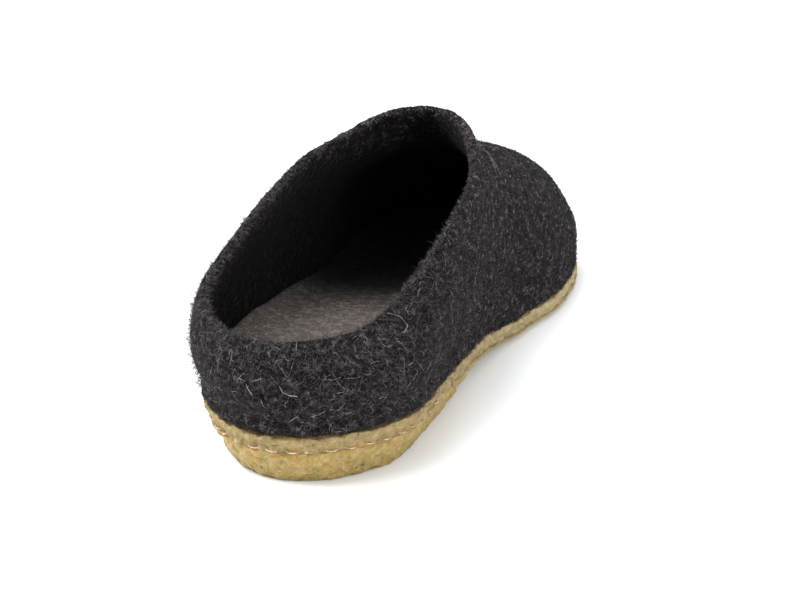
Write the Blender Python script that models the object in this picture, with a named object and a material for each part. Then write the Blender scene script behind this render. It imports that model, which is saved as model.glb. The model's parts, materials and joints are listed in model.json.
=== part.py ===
# Left felt slipper: a one-piece felt upper on a sole of two crepe rubber layers.
# The toe points along +Y and the inner side of the foot lies at +X.
import bpy
import bmesh
import numpy as np

# Driving dimensions, in metres.
SOLE_LENGTH = 0.275        # along the rubber's top edge, heel to toe
BALL_WIDTH = 0.103         # rubber across the ball of the foot
HEEL_WIDTH = 0.0865        # rubber across the heel
HEEL_STACK = 0.0201        # rubber under the heel
BALL_STACK = 0.0079        # rubber under the ball of the foot
BAND_HEIGHT = 0.0061       # upper rubber layer, seen from the side
TOE_SPRING = 0.0060        # underside of the toe tip over the floor
ARCH_LIFT = 0.0043         # underside of the waist over the floor
HEEL_UNDERCUT = 0.0072     # how far the heel's underside sits in
HEEL_HEIGHT = 0.0515       # collar edge over the floor, at the back
INSTEP_HEIGHT = 0.0975     # collar edge over the floor, at the front lip
COLLAR_LENGTH = 0.1570     # collar opening along the shoe
COLLAR_WIDTH = 0.0740      # collar opening across the shoe
COLLAR_START = 0.0020      # collar's back edge from the back of the sole
WALL = 0.0045              # felt of the upper
MARGIN = 0.0130            # felt turned in under the insole
INSOLE_THICKNESS = 0.0100  # felt of the insole at its edge
INSOLE_DISH = 0.0025       # how much lower the insole's middle lies
INSOLE_EASE = 0.0008       # between the insole's edge and the upper's wall
DISH_SLOPE = 0.0110        # width of the slope down from the insole's edge
HEEL_BULGE = 0.0050        # felt swelling over the rubber at the heel
SIDE_BULGE = 0.0022        # the same along the sides and toe
FELT_SETBACK = 0.0008      # felt inside the rubber's top edge
GROOVE_DEPTH = 0.0016      # stitch channel at the foot of the upper layer
GROOVE_HEIGHT = 0.0010     # its straight part, over the seam of the layers
BAND_SLOPE = 0.0016        # how far the upper layer slopes in at the heel
EDGE_ROUND = 0.0012        # broken edges of felt and rubber
GAP = 0.0003               # between two pieces that touch

STATIONS = 38              # sections along each side, heel to toe

# Sole outline by share of SOLE_LENGTH. Centre is a share of BALL_WIDTH
# towards the inner side. Heel and ball are the parts that HEEL_WIDTH and
# BALL_WIDTH have in the width there.
OUTLINE = {
    "along":  (0.00, 0.09, 0.18, 0.29, 0.40, 0.50, 0.61, 0.70, 0.79, 0.875, 0.935, 0.98, 1.00),
    "centre": (.006, .010, .003, -.009, -.035, -.044, -.043, -.029, -.025, -.002, .043, .083, .098),
    "heel":   (0.84, 0.93, 1.00, 1.00, 0.75, 0.40, 0.10, 0.00, 0.00, 0.000, 0.000, 0.00, 0.00),
    "ball":   (0.00, 0.00, 0.00, 0.00, 0.21, 0.51, 0.84, 1.00, 0.99, 0.965, 0.930, 0.83, 0.80),
}
HEEL_ROUND = 0.15          # share of the length in which the heel closes
TOE_ROUND = 0.22           # share of the length in which the toe closes

# Rubber heights by share of SOLE_LENGTH. Heel and ball are the parts of
# HEEL_STACK and BALL_STACK in the thickness, arch and spring the parts of
# ARCH_LIFT and TOE_SPRING in the underside's height.
SOLE_HEIGHTS = {
    "along":    (0.00, 0.05, 0.18, 0.27, 0.36, 0.45, 0.53, 0.60, 0.70, 0.80, 0.90, 1.00),
    "heel":     (0.99, 1.00, 1.01, 1.00, 0.66, 0.24, 0.07, 0.00, 0.00, 0.00, 0.00, 0.00),
    "ball":     (0.00, 0.00, 0.00, 0.00, 0.26, 0.60, 0.85, 1.00, 0.98, 0.95, 0.88, 0.82),
    "arch":     (0.00, 0.00, 0.00, 0.00, 0.38, 1.00, 0.50, 0.00, 0.00, 0.00, 0.00, 0.00),
    "spring":   (0.00, 0.00, 0.00, 0.00, 0.00, 0.00, 0.00, 0.00, 0.00, 0.00, 0.32, 1.00),
    "undercut": (1.00, 1.00, 1.00, 0.85, 0.62, 0.48, 0.42, 0.36, 0.32, 0.30, 0.30, 0.32),
    "band":     (1.00, 1.00, 1.00, 1.00, 0.97, 0.90, 0.86, 0.82, 0.80, 0.80, 0.80, 0.80),
}

# Collar edge by share of COLLAR_LENGTH. Centre is a share of COLLAR_WIDTH,
# half one of half that width. Inner and outer say how far the edge has
# risen from HEEL_HEIGHT to INSTEP_HEIGHT on that side of the foot.
COLLAR = {
    "along":  (0.00, 0.20, 0.40, 0.60, 0.80, 1.00),
    "centre": (-.072, -.027, .050, .085, .055, .045),
    "half":   (0.85, 0.915, 1.00, 1.00, 0.93, 0.90),
    "inner":  (0.00, 0.08, 0.38, 0.69, 0.875, 0.95),
    "outer":  (0.04, 0.26, 0.54, 0.74, 0.825, 0.985),
}
COLLAR_BACK_ROUND = 0.20   # share of the collar in which its back closes
COLLAR_FRONT_ROUND = 0.45  # share of the collar in which its front closes

# How the felt runs from the foot of its wall to the collar edge. Rise and
# reach are the shares of the height and of the way across that it has
# done: wall_ is the heel and sides, toe_ the line from the toe tip over
# the vamp to the lip. Swell is the share of the bulge.
CLIMB = {
    "step":       (0.0, .07, .14, .22, .32, .45, .60, .75, .87, .94, 1.0),
    "wall_rise":  (0.0, .07, .14, .22, .32, .45, .60, .75, .87, .94, 1.0),
    "wall_reach": (0.0, .00, .00, .02, .07, .18, .36, .58, .79, .90, 1.0),
    "toe_rise":   (0.0, .11, .195, .285, .425, .555, .665, .740, .80, .86, 1.0),
    "toe_reach":  (0.0, 0.0, .058, .125, .230, .385, .602, .772, .883, .945, 1.0),
    "swell":      (0.0, .12, .32, .58, .85, 1.0, .92, .65, .35, .15, 0.0),
}
LOWER_EDGE = 0.15          # share of the lower layer's height at its broken edge
MIDWAY = 0.50              # share of its height where its side bends
UPPER_EDGE = 0.80          # share of its height where its side meets the band's line
MIDWAY_CUT = 0.60          # share of the undercut at that bend
VAMP_FROM = 0.40           # share of the length where the wall starts to turn
VAMP_TO = 0.80             # into vamp, and where it is all vamp
VAMP_SWELL = 0.75          # share of the side bulge that the vamp keeps
RIM_STEPS = 4              # facets of the collar's rounded edge


def follow(table, column, share, key="along"):
    """Smooth value of a table's column at each share."""
    x = np.array(table[key])
    y = np.array(table[column])
    slope = np.gradient(y, x)
    flat = np.diff(y) == 0
    slope[:-1][flat] = 0
    slope[1:][flat] = 0
    share = np.clip(share, x[0], x[-1])
    i = np.clip(np.searchsorted(x, share, side="right") - 1, 0, len(x) - 2)
    h = x[i + 1] - x[i]
    t = (share - x[i]) / h
    return ((1 + 2 * t) * (1 - t) ** 2 * y[i] + t * (1 - t) ** 2 * h * slope[i]
            + t * t * (3 - 2 * t) * y[i + 1] + t * t * (t - 1) * h * slope[i + 1])


def closing(share, back, front):
    """Rounds a width down to nothing at both ends of the loop."""
    a = 1 - np.clip(share / back, 0, 1)
    b = 1 - np.clip((1 - share) / front, 0, 1)
    return np.sqrt((1 - a * a) * (1 - b * b))


def loop_stations():
    """Share along the shoe and side (+1 inner, -1 outer) round one loop."""
    share = (1 - np.cos(np.linspace(0, np.pi, STATIONS + 1))) / 2
    side = np.concatenate([np.ones(STATIONS + 1), -np.ones(STATIONS - 1)])
    return np.concatenate([share, share[-2:0:-1]]), side


def sole_outline():
    """Top edge of the rubber: XY points and outward directions."""
    share, side = loop_stations()
    half = (HEEL_WIDTH * follow(OUTLINE, "heel", share)
            + BALL_WIDTH * follow(OUTLINE, "ball", share)) / 2
    half = half * closing(share, HEEL_ROUND, TOE_ROUND)
    x = follow(OUTLINE, "centre", share) * BALL_WIDTH + side * half
    points = np.stack([x, share * SOLE_LENGTH], axis=1)
    along = np.roll(points, -1, axis=0) - np.roll(points, 1, axis=0)
    out = np.stack([along[:, 1], -along[:, 0]], axis=1)
    return points, out / np.linalg.norm(out, axis=1)[:, None]


def underside(share):
    return (ARCH_LIFT * follow(SOLE_HEIGHTS, "arch", share)
            + TOE_SPRING * follow(SOLE_HEIGHTS, "spring", share))


def rubber_top(share):
    return (underside(share) + HEEL_STACK * follow(SOLE_HEIGHTS, "heel", share)
            + BALL_STACK * follow(SOLE_HEIGHTS, "ball", share))


def layer_seam(share):
    """Height where the upper rubber layer meets the lower one."""
    return rubber_top(share) - BAND_HEIGHT * follow(SOLE_HEIGHTS, "band", share)


def undercut_share():
    share = loop_stations()[0]
    return follow(SOLE_HEIGHTS, "undercut", share)


def partway(part):
    """Height function for a part of the way up the lower rubber layer."""
    return lambda share: underside(share) + part * (layer_seam(share) - underside(share))


def ring(inset, height, lift=0.0):
    """Loop of points set in from the sole's outline by inset, at height."""
    points, out = sole_outline()
    inward = points - out * np.asarray(inset).reshape(-1, 1)
    share = inward[:, 1] / SOLE_LENGTH
    return np.column_stack([inward, height(share) + lift])


def shell(name, rings, closed):
    """Solid from loops. A closed one joins its last loop to its first,
    an open one has each end filled straight across the shoe."""
    size = len(rings[0])
    mesh = bmesh.new()
    rows = [[mesh.verts.new(p) for p in loop] for loop in rings]
    pairs = list(zip(rows, rows[1:] + rows[:1] if closed else rows[1:]))
    for low, high in pairs:
        for i in range(size):
            k = (i + 1) % size
            mesh.faces.new((low[i], low[k], high[k], high[i]))
    if not closed:
        for row, up in ((rows[0], False), (rows[-1], True)):
            for i in range(size // 2):
                a, b = row[i], row[i + 1]
                c, d = row[-i - 1], row[-i] if i else row[0]
                face = [a, b, c, d] if i else [a, b, c]
                if i == size // 2 - 1:
                    face = [a, b, d]
                mesh.faces.new(face if up else face[::-1])
    bmesh.ops.triangulate(mesh, faces=mesh.faces[:])
    bmesh.ops.recalc_face_normals(mesh, faces=mesh.faces[:])
    data = bpy.data.meshes.new(name)
    mesh.to_mesh(data)
    mesh.free()
    data.shade_smooth()
    data.set_sharp_from_angle(angle=np.radians(40))
    piece = bpy.data.objects.new(name, data)
    bpy.context.collection.objects.link(piece)
    return piece


def material(piece, color, roughness):
    surface = bpy.data.materials.new(piece.name)
    surface.use_nodes = True
    node = surface.node_tree.nodes["Principled BSDF"]
    node.inputs["Base Color"].default_value = (*color, 1)
    node.inputs["Roughness"].default_value = roughness
    node.inputs["Metallic"].default_value = 0
    piece.data.materials.append(surface)


def collar_edge():
    """Collar loop, station for station over the sole's loop."""
    share, side = loop_stations()
    share = 1 - (1 - share) ** (SOLE_LENGTH / COLLAR_LENGTH)
    half = COLLAR_WIDTH / 2 * follow(COLLAR, "half", share)
    half = half * closing(share, COLLAR_BACK_ROUND, COLLAR_FRONT_ROUND)
    x = COLLAR_WIDTH * follow(COLLAR, "centre", share) + side * half
    y = COLLAR_START + share * COLLAR_LENGTH
    inner = follow(COLLAR, "inner", share)
    outer = follow(COLLAR, "outer", share)
    lean = (1 + side * closing(share, COLLAR_BACK_ROUND, COLLAR_FRONT_ROUND)) / 2
    rise = inner * lean + outer * (1 - lean)
    return np.column_stack([x, y, HEEL_HEIGHT + rise * (INSTEP_HEIGHT - HEEL_HEIGHT)])


def felt_rings():
    """Outer and inner loops of the felt, from the foot of the wall up."""
    share, side = loop_stations()
    foot = ring(FELT_SETBACK, rubber_top, GAP + WALL + EDGE_ROUND)
    edge = collar_edge()
    out = sole_outline()[1]
    vamp = np.clip((share - VAMP_FROM) / (VAMP_TO - VAMP_FROM), 0, 1)
    vamp = vamp * vamp * (3 - 2 * vamp)
    bulge = HEEL_BULGE + (SIDE_BULGE - HEEL_BULGE) * np.clip(share / HEEL_ROUND / 2, 0, 1)
    outer = []
    for step in CLIMB["step"]:
        value = {c: follow(CLIMB, c, step, "step") for c in CLIMB if c != "step"}
        rise = value["wall_rise"] * (1 - vamp) + value["toe_rise"] * vamp
        reach = value["wall_reach"] * (1 - vamp) + value["toe_reach"] * vamp
        loop = foot + (edge - foot) * np.column_stack([reach, reach, rise])
        loop[:, :2] += out * (bulge * value["swell"] * (1 - (1 - VAMP_SWELL) * vamp))[:, None]
        outer.append(loop)
    outer = np.array(outer)
    around = np.roll(outer, -1, axis=1) - np.roll(outer, 1, axis=1)
    upward = np.gradient(outer, axis=0)
    normal = np.cross(around, upward)
    normal /= np.linalg.norm(normal, axis=2)[:, :, None]
    upward /= np.linalg.norm(upward, axis=2)[:, :, None]
    inner = outer - normal * WALL
    rim = []
    middle = (outer[-1] + inner[-1]) / 2
    for k in range(1, RIM_STEPS):
        turn = np.pi * k / RIM_STEPS
        rim.append(middle + WALL / 2 * (np.cos(turn) * normal[-1] + np.sin(turn) * upward[-1]))
    return list(outer), rim, list(inner)


def build_upper():
    """Felt wall, open at the collar and between its turned-in margins."""
    outer, rim, inner = felt_rings()
    under = [ring(FELT_SETBACK + MARGIN, rubber_top, GAP),
             ring(FELT_SETBACK + EDGE_ROUND, rubber_top, GAP),
             ring(FELT_SETBACK, rubber_top, GAP + EDGE_ROUND)]
    inside = [ring(FELT_SETBACK + WALL + EDGE_ROUND, rubber_top, GAP + WALL),
              ring(FELT_SETBACK + MARGIN, rubber_top, GAP + WALL)]
    piece = shell("upper", under + outer + rim + inner[::-1] + inside, closed=True)
    material(piece, (0.034, 0.030, 0.031), 0.95)
    return piece


def build_insole():
    """Felt insole on the margins, thicker where it fills between them."""
    base = 2 * GAP + WALL
    filled = FELT_SETBACK + MARGIN + GAP
    edge = FELT_SETBACK + WALL + INSOLE_EASE
    rings = [ring(filled, rubber_top, GAP),
             ring(filled, rubber_top, base),
             ring(edge + EDGE_ROUND, rubber_top, base),
             ring(edge, rubber_top, base + EDGE_ROUND + GAP),
             ring(edge, rubber_top, base + INSOLE_THICKNESS - EDGE_ROUND),
             ring(edge + EDGE_ROUND, rubber_top, base + INSOLE_THICKNESS),
             ring(edge + DISH_SLOPE, rubber_top, base + INSOLE_THICKNESS - INSOLE_DISH)]
    piece = shell("insole", rings, closed=False)
    material(piece, (0.045, 0.038, 0.034), 0.95)
    return piece


def build_midsole():
    """Upper rubber layer: the band with the stitch channel at its foot."""
    slope = BAND_SLOPE * undercut_share()
    rings = [ring(slope + GROOVE_DEPTH, layer_seam, GAP / 2),
             ring(slope + GROOVE_DEPTH, layer_seam, GROOVE_HEIGHT),
             ring(slope, layer_seam, GROOVE_HEIGHT + EDGE_ROUND),
             ring(0.0, rubber_top, -EDGE_ROUND),
             ring(EDGE_ROUND / 2, rubber_top)]
    piece = shell("midsole", rings, closed=False)
    material(piece, (0.42, 0.32, 0.15), 0.6)
    return piece


def build_outsole():
    """Lower rubber layer, thick and undercut at the heel, thin in front."""
    cut = HEEL_UNDERCUT * undercut_share()
    slope = BAND_SLOPE * undercut_share()
    rings = [ring(cut + EDGE_ROUND, underside),
             ring(cut, partway(LOWER_EDGE)),
             ring(cut * MIDWAY_CUT + slope * (1 - MIDWAY_CUT), partway(MIDWAY)),
             ring(slope, partway(UPPER_EDGE)),
             ring(slope + GROOVE_DEPTH, layer_seam, -GAP / 2)]
    piece = shell("outsole", rings, closed=False)
    material(piece, (0.46, 0.32, 0.12), 0.65)
    return piece


def centre_on_floor(pieces):
    """Puts the origin under the middle of the whole slipper."""
    corners = np.array([v.co for piece in pieces for v in piece.data.vertices])
    middle = (corners.min(axis=0) + corners.max(axis=0)) / 2
    for piece in pieces:
        piece.location = (-middle[0], -middle[1], 0)


for old in list(bpy.data.objects):
    bpy.data.objects.remove(old)
centre_on_floor([build_outsole(), build_midsole(), build_upper(), build_insole()])
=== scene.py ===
import bpy
import bmesh
import json
import math
import numpy as np
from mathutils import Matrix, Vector, noise
from mathutils.bvhtree import BVHTree

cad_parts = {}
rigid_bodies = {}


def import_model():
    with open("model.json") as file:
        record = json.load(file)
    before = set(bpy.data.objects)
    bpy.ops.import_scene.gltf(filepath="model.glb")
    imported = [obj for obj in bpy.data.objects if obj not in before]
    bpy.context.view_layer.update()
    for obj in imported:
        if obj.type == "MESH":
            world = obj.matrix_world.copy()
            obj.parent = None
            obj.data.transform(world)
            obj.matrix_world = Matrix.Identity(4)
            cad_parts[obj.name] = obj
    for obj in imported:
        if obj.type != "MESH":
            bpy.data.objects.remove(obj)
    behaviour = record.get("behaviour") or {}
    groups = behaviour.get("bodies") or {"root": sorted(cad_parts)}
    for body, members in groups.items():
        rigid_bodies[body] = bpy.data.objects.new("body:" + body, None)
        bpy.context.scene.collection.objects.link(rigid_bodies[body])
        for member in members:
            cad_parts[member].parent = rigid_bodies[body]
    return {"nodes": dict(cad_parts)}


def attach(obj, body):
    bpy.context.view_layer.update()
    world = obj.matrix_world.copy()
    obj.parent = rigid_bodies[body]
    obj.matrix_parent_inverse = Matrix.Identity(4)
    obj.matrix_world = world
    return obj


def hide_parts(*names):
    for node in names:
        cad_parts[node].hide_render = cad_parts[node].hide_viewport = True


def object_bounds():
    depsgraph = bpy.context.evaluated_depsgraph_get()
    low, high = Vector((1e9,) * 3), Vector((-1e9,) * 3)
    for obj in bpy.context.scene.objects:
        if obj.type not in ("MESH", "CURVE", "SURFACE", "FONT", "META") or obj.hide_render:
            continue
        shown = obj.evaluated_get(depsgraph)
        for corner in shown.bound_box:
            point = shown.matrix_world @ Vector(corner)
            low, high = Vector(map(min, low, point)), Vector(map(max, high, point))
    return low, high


for old in list(bpy.data.objects):
    bpy.data.objects.remove(old)
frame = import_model()
cadLow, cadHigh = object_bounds()
shoeSize = cadHigh - cadLow
mm = 0.001
print("packed model loaded:", ", ".join(sorted(frame["nodes"])))

# camera, floor and soft light
cameraView = {
    "azimuth": 20.76,  # degrees, from straight behind the heel towards the inner side
    "elevation": 21.5,
    "distance": 0.72,
    "target": (-0.01413, 0.03758, -0.00133),
    "lens": 74.37,
    "shift": (0.00257, 0.01661),
}
studio = {
    "skyStrength": 0.83,
    "floorColor": (0.865, 0.885, 0.905, 1),
    "floorSize": 6.0,
    "lamps": {  # place, size and watts of each softbox, all aimed at the shoe
        "overheadBox": ((-0.37, -0.23, 1.19), 1.0, 25.5),
        "sideBox": ((-1.1, -0.5, 0.75), 0.6, 11.0),
        "frontBox": ((1.0, -0.6, 0.7), 0.9, 8.5),
    },
}


def buildCamera():
    data = bpy.data.cameras.new("viewCamera")
    camera = bpy.data.objects.new("viewCamera", data)
    bpy.context.scene.collection.objects.link(camera)
    azimuth = math.radians(cameraView["azimuth"])
    elevation = math.radians(cameraView["elevation"])
    back = Vector((math.sin(azimuth) * math.cos(elevation),
                   -math.cos(azimuth) * math.cos(elevation),
                   math.sin(elevation)))
    camera.location = Vector(cameraView["target"]) + back * cameraView["distance"]
    camera.rotation_euler = (-back).to_track_quat("-Z", "Y").to_euler()
    data.sensor_width = 36
    data.lens = cameraView["lens"]
    data.shift_x, data.shift_y = cameraView["shift"]
    data.clip_start = 0.01
    bpy.context.scene.camera = camera


def buildStudio():
    world = bpy.data.worlds.new("paleRoom")
    world.use_nodes = True
    sky = world.node_tree.nodes["Background"]
    sky.inputs["Color"].default_value = (1, 1, 1, 1)
    sky.inputs["Strength"].default_value = studio["skyStrength"]
    bpy.context.scene.world = world
    half = studio["floorSize"] / 2
    data = bpy.data.meshes.new("paleFloor")
    data.from_pydata([(-half, -half, 0), (half, -half, 0), (half, half, 0), (-half, half, 0)],
                     [], [(0, 1, 2, 3)])
    floor = bpy.data.objects.new("paleFloor", data)
    bpy.context.scene.collection.objects.link(floor)
    paint = bpy.data.materials.new("palePaper")
    paint.use_nodes = True
    surface = paint.node_tree.nodes["Principled BSDF"]
    surface.inputs["Base Color"].default_value = studio["floorColor"]
    surface.inputs["Roughness"].default_value = 0.8
    surface.inputs["Specular IOR Level"].default_value = 0.1
    data.materials.append(paint)
    for name, (place, size, watts) in studio["lamps"].items():
        lamp = bpy.data.lights.new(name, "AREA")
        lamp.shape = "SQUARE"
        lamp.size = size
        lamp.energy = watts
        holder = bpy.data.objects.new(name, lamp)
        holder.location = place
        holder.rotation_euler = Vector(place).to_track_quat("Z", "Y").to_euler()
        bpy.context.scene.collection.objects.link(holder)
    bpy.context.scene.view_settings.view_transform = "Standard"


buildCamera()
buildStudio()
print("camera and studio ready")


# node helpers for the felt and rubber finishes
class NodeBench:
    def __init__(self, name):
        self.material = bpy.data.materials.new(name)
        self.material.use_nodes = True
        self.nodes = self.material.node_tree.nodes
        self.links = self.material.node_tree.links
        self.shader = self.nodes["Principled BSDF"]
        self.place = self.nodes.new("ShaderNodeTexCoord").outputs["Object"]

    def join(self, value, socket):
        if isinstance(value, bpy.types.NodeSocket):
            self.links.new(value, socket)
        else:
            socket.default_value = value

    def make(self, kind, **sockets):
        node = self.nodes.new("ShaderNode" + kind)
        for name, value in sockets.items():
            self.join(value, node.inputs[name])
        return node

    def sums(self, kind, a, b=0.0, c=0.0):
        node = self.make("Math")
        node.operation = kind
        for value, socket in zip((a, b, c), node.inputs):
            self.join(value, socket)
        return node.outputs[0]

    def times(self, a, b):
        return self.sums("MULTIPLY", a, b)

    def ranged(self, value, low, high, newLow=0.0, newHigh=1.0):
        node = self.make("MapRange", Value=value)
        node.interpolation_type = "SMOOTHSTEP"
        for key, number in (("From Min", low), ("From Max", high),
                            ("To Min", newLow), ("To Max", newHigh)):
            node.inputs[key].default_value = number
        return node.outputs["Result"]

    def moved(self, shift=(0, 0, 0), stretch=(1, 1, 1)):
        return self.make("Mapping", Vector=self.place, Location=shift, Scale=stretch).outputs["Vector"]

    def cloud(self, vector, scale, detail=2.0, rough=0.5, bend=0.0):
        return self.make("TexNoise", Vector=vector, Scale=scale, Detail=detail,
                         Roughness=rough, Distortion=bend).outputs["Fac"]

    def patches(self, patch, size=1.0):
        # a cloud sharpened between two of its values
        vector = self.moved(patch.get("shift", (0, 0, 0)), (size, size, size))
        field = self.cloud(vector, patch["scale"], patch.get("detail", 2.0),
                           patch.get("rough", 0.5), patch.get("bend", 0.0))
        return self.ranged(field, *patch["between"], *patch.get("gives", (0.0, 1.0)))

    def cells(self, vector, scale, feature="F1"):
        node = self.make("TexVoronoi", Vector=vector, Scale=scale)
        node.feature = feature
        return node.outputs["Distance"]

    def strand(self, vector, scale, width, bend):
        # the thin contour of a noise field reads as one curled fibre
        field = self.cloud(vector, scale, detail=1.0, bend=bend)
        off = self.sums("ABSOLUTE", self.sums("SUBTRACT", field, 0.5))
        return self.ranged(off, 0.0, width, 1.0, 0.0)

    def ahead(self, low, high):
        # 0 behind the first place along the shoe, 1 ahead of the second
        return self.ranged(self.make("SeparateXYZ", Vector=self.place).outputs["Y"], low, high)

    def blend(self, share, first, second):
        node = self.make("Mix")
        node.data_type = "RGBA"
        self.join(share, node.inputs[0])
        self.join(first, node.inputs[6])
        self.join(second, node.inputs[7])
        return node.outputs[2]

    def read(self, name):
        node = self.make("Attribute")
        node.attribute_name = name
        return node.outputs["Fac"]

    def relief(self, height, strength, distance, under=None):
        node = self.make("Bump", Height=height, Strength=strength, Distance=distance)
        if under is not None:
            self.join(under, node.inputs["Normal"])
        return node.outputs["Normal"]

    def finish(self, color, roughness, normal=None, shine=0.5, sheen=0.0, sheenTint=(1, 1, 1, 1)):
        self.join(color, self.shader.inputs["Base Color"])
        self.join(roughness, self.shader.inputs["Roughness"])
        if normal is not None:
            self.links.new(normal, self.shader.inputs["Normal"])
        for key, value in (("Specular IOR Level", shine), ("Sheen Weight", sheen),
                           ("Sheen Roughness", 0.5), ("Sheen Tint", sheenTint)):
            self.shader.inputs[key].default_value = value
        return self.material


def rgb(red, green, blue):
    return (red, green, blue, 1.0)


feltLook = {
    "wallFelt": {
        "ground": rgb(0.0022, 0.0017, 0.0018),
        "wool": rgb(0.030, 0.0255, 0.0270),
        "pale": rgb(0.150, 0.137, 0.137),
        "warm": rgb(0.011, 0.0070, 0.0068),
        "size": 1.0,
        "sheen": 0.03,
    },
    "footbedFelt": {
        "ground": rgb(0.056, 0.047, 0.042),
        "wool": rgb(0.240, 0.211, 0.194),
        "pale": rgb(0.285, 0.256, 0.234),
        "warm": rgb(0.072, 0.052, 0.042),
        "size": 1.25,
        "sheen": 0.04,
    },
}
# painted fibres: scale of their pattern, thickness in it, curl, and how the pattern lies
woolStrands = {
    "long": {"scale": 230, "thick": 0.036, "curl": 1.6, "shift": (0, 0, 0), "stretch": (1, 1, 1)},
    "short": {"scale": 380, "thick": 0.055, "curl": 1.3, "shift": (0.4, 0.1, 0.7),
              "stretch": (1, 1, 1)},
    "fine": {"scale": 620, "thick": 0.08, "curl": 1.0, "shift": (0.9, 0.6, 0.2),
             "stretch": (1, 1, 1)},
    "combed": {"scale": 500, "thick": 0.08, "curl": 0.8, "shift": (0.31, 0.17, 0.0),
               "stretch": (1, 0.8, 0.55)},  # drawn out from the sole up to the collar
}
# cloudy patches: scale of the noise, its values that they lie between, and what those turn into
feltPatches = {
    "broken": {"scale": 480, "between": (0.44, 0.62)},
    "gaps": {"scale": 560, "between": (0.40, 0.58), "shift": (0.5, 0.8, 0.3)},
    "patchy": {"scale": 210, "between": (0.36, 0.64), "gives": (0.14, 1.00),
               "detail": 3.0, "rough": 0.6},
    "clumpsAndLight": {"scale": 290, "between": (0.42, 0.62), "gives": (-0.38, 1.80),
               "shift": (0.7, 0.2, 0.9), "detail": 3.0, "rough": 0.6, "bend": 0.5},
    "grain": {"scale": 1500, "between": (0.45, 0.75), "gives": (0.0, 0.15), "rough": 0.6},
    "tinge": {"scale": 160, "between": (0.5, 0.72), "gives": (0.0, 0.5), "shift": (2, 1, 3)},
}
feltPaint = {
    "fineShare": 0.5,
    "combedShare": 0.3,
    "woolShare": 0.95,
    "glintShare": 0.6,
    "clumpsAndLightFrom": (-0.090, -0.010),  # along the shoe: none behind the first, full ahead of the second
    "lumpScale": 300,
    "lumpRelief": 0.0018,
    "strandRelief": 0.0005,
    "deepShade": rgb(0.0005, 0.0005, 0.0005),
    "sheenTint": rgb(0.62, 0.58, 0.60),
    "roughness": 0.95,
    "shine": 0.04,
}


def feltFinish(name):
    look = feltLook[name]
    bench = NodeBench(name)
    size = look["size"]
    wool = {}
    for kind, hair in woolStrands.items():
        lay = bench.moved(hair["shift"], [size * axis for axis in hair["stretch"]])
        wool[kind] = bench.strand(lay, hair["scale"], hair["thick"], hair["curl"])
    broken = bench.patches(feltPatches["broken"], size)
    gaps = bench.patches(feltPatches["gaps"])
    patchy = bench.patches(feltPatches["patchy"], size)
    strands = bench.sums("MAXIMUM", bench.times(wool["long"], broken), bench.times(wool["short"], gaps))
    strands = bench.sums("MAXIMUM", strands, bench.times(wool["fine"], feltPaint["fineShare"]))
    strands = bench.sums("MAXIMUM", strands, bench.times(wool["combed"], feltPaint["combedShare"]))
    # over the waist and vamp the wool gathers in paler and darker clumps, which also leave the waist
    # and vamp lighter overall than the heel: painted light, where more light falls than on the heel
    clumpsAndLight = bench.times(bench.patches(feltPatches["clumpsAndLight"]), bench.ahead(*feltPaint["clumpsAndLightFrom"]))
    patchy = bench.sums("MULTIPLY_ADD", clumpsAndLight, patchy, patchy)
    strands = bench.times(strands, patchy)
    grain = bench.patches(feltPatches["grain"], size)
    share = bench.sums("ADD", bench.times(strands, feltPaint["woolShare"]), grain)
    color = bench.blend(share, look["ground"], look["wool"])
    glints = bench.times(bench.sums("MAXIMUM", wool["short"], wool["long"]), broken)
    glints = bench.times(bench.times(glints, patchy), feltPaint["glintShare"])
    color = bench.blend(glints, color, look["pale"])
    color = bench.blend(bench.patches(feltPatches["tinge"]), color, look["warm"])
    # painted shade: the felt darkens deep inside the shoe, where little light reaches, and along the
    # fold beside the front lip
    color = bench.blend(bench.read("paintedShade"), color, feltPaint["deepShade"])
    lumps = bench.cloud(bench.moved(stretch=(size, size, size)), feltPaint["lumpScale"], 4.0, 0.65)
    normal = bench.relief(lumps, 0.9, feltPaint["lumpRelief"])
    normal = bench.relief(strands, 0.5, feltPaint["strandRelief"], normal)
    return bench.finish(color, feltPaint["roughness"], normal, feltPaint["shine"],
                        look["sheen"], feltPaint["sheenTint"])


fibreLook = {
    "darkFibre": (rgb(0.0050, 0.0042, 0.0044), rgb(0.024, 0.0205, 0.0215)),
    "greyFibre": (rgb(0.019, 0.0165, 0.0172), rgb(0.092, 0.083, 0.083)),
    "paleFibre": (rgb(0.12, 0.108, 0.105), rgb(0.42, 0.385, 0.37)),
    "footbedFibre": (rgb(0.070, 0.060, 0.053), rgb(0.23, 0.203, 0.184)),
    "edgeFibre": (rgb(0.010, 0.007, 0.007), rgb(0.030, 0.020, 0.017)),
}


def fibreFinish(name):
    first, second = fibreLook[name]
    bench = NodeBench(name)
    share = bench.ranged(bench.cloud(bench.place, 700, 2.0), 0.35, 0.65)
    return bench.finish(bench.blend(share, first, second), 0.8, shine=0.08)


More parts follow.
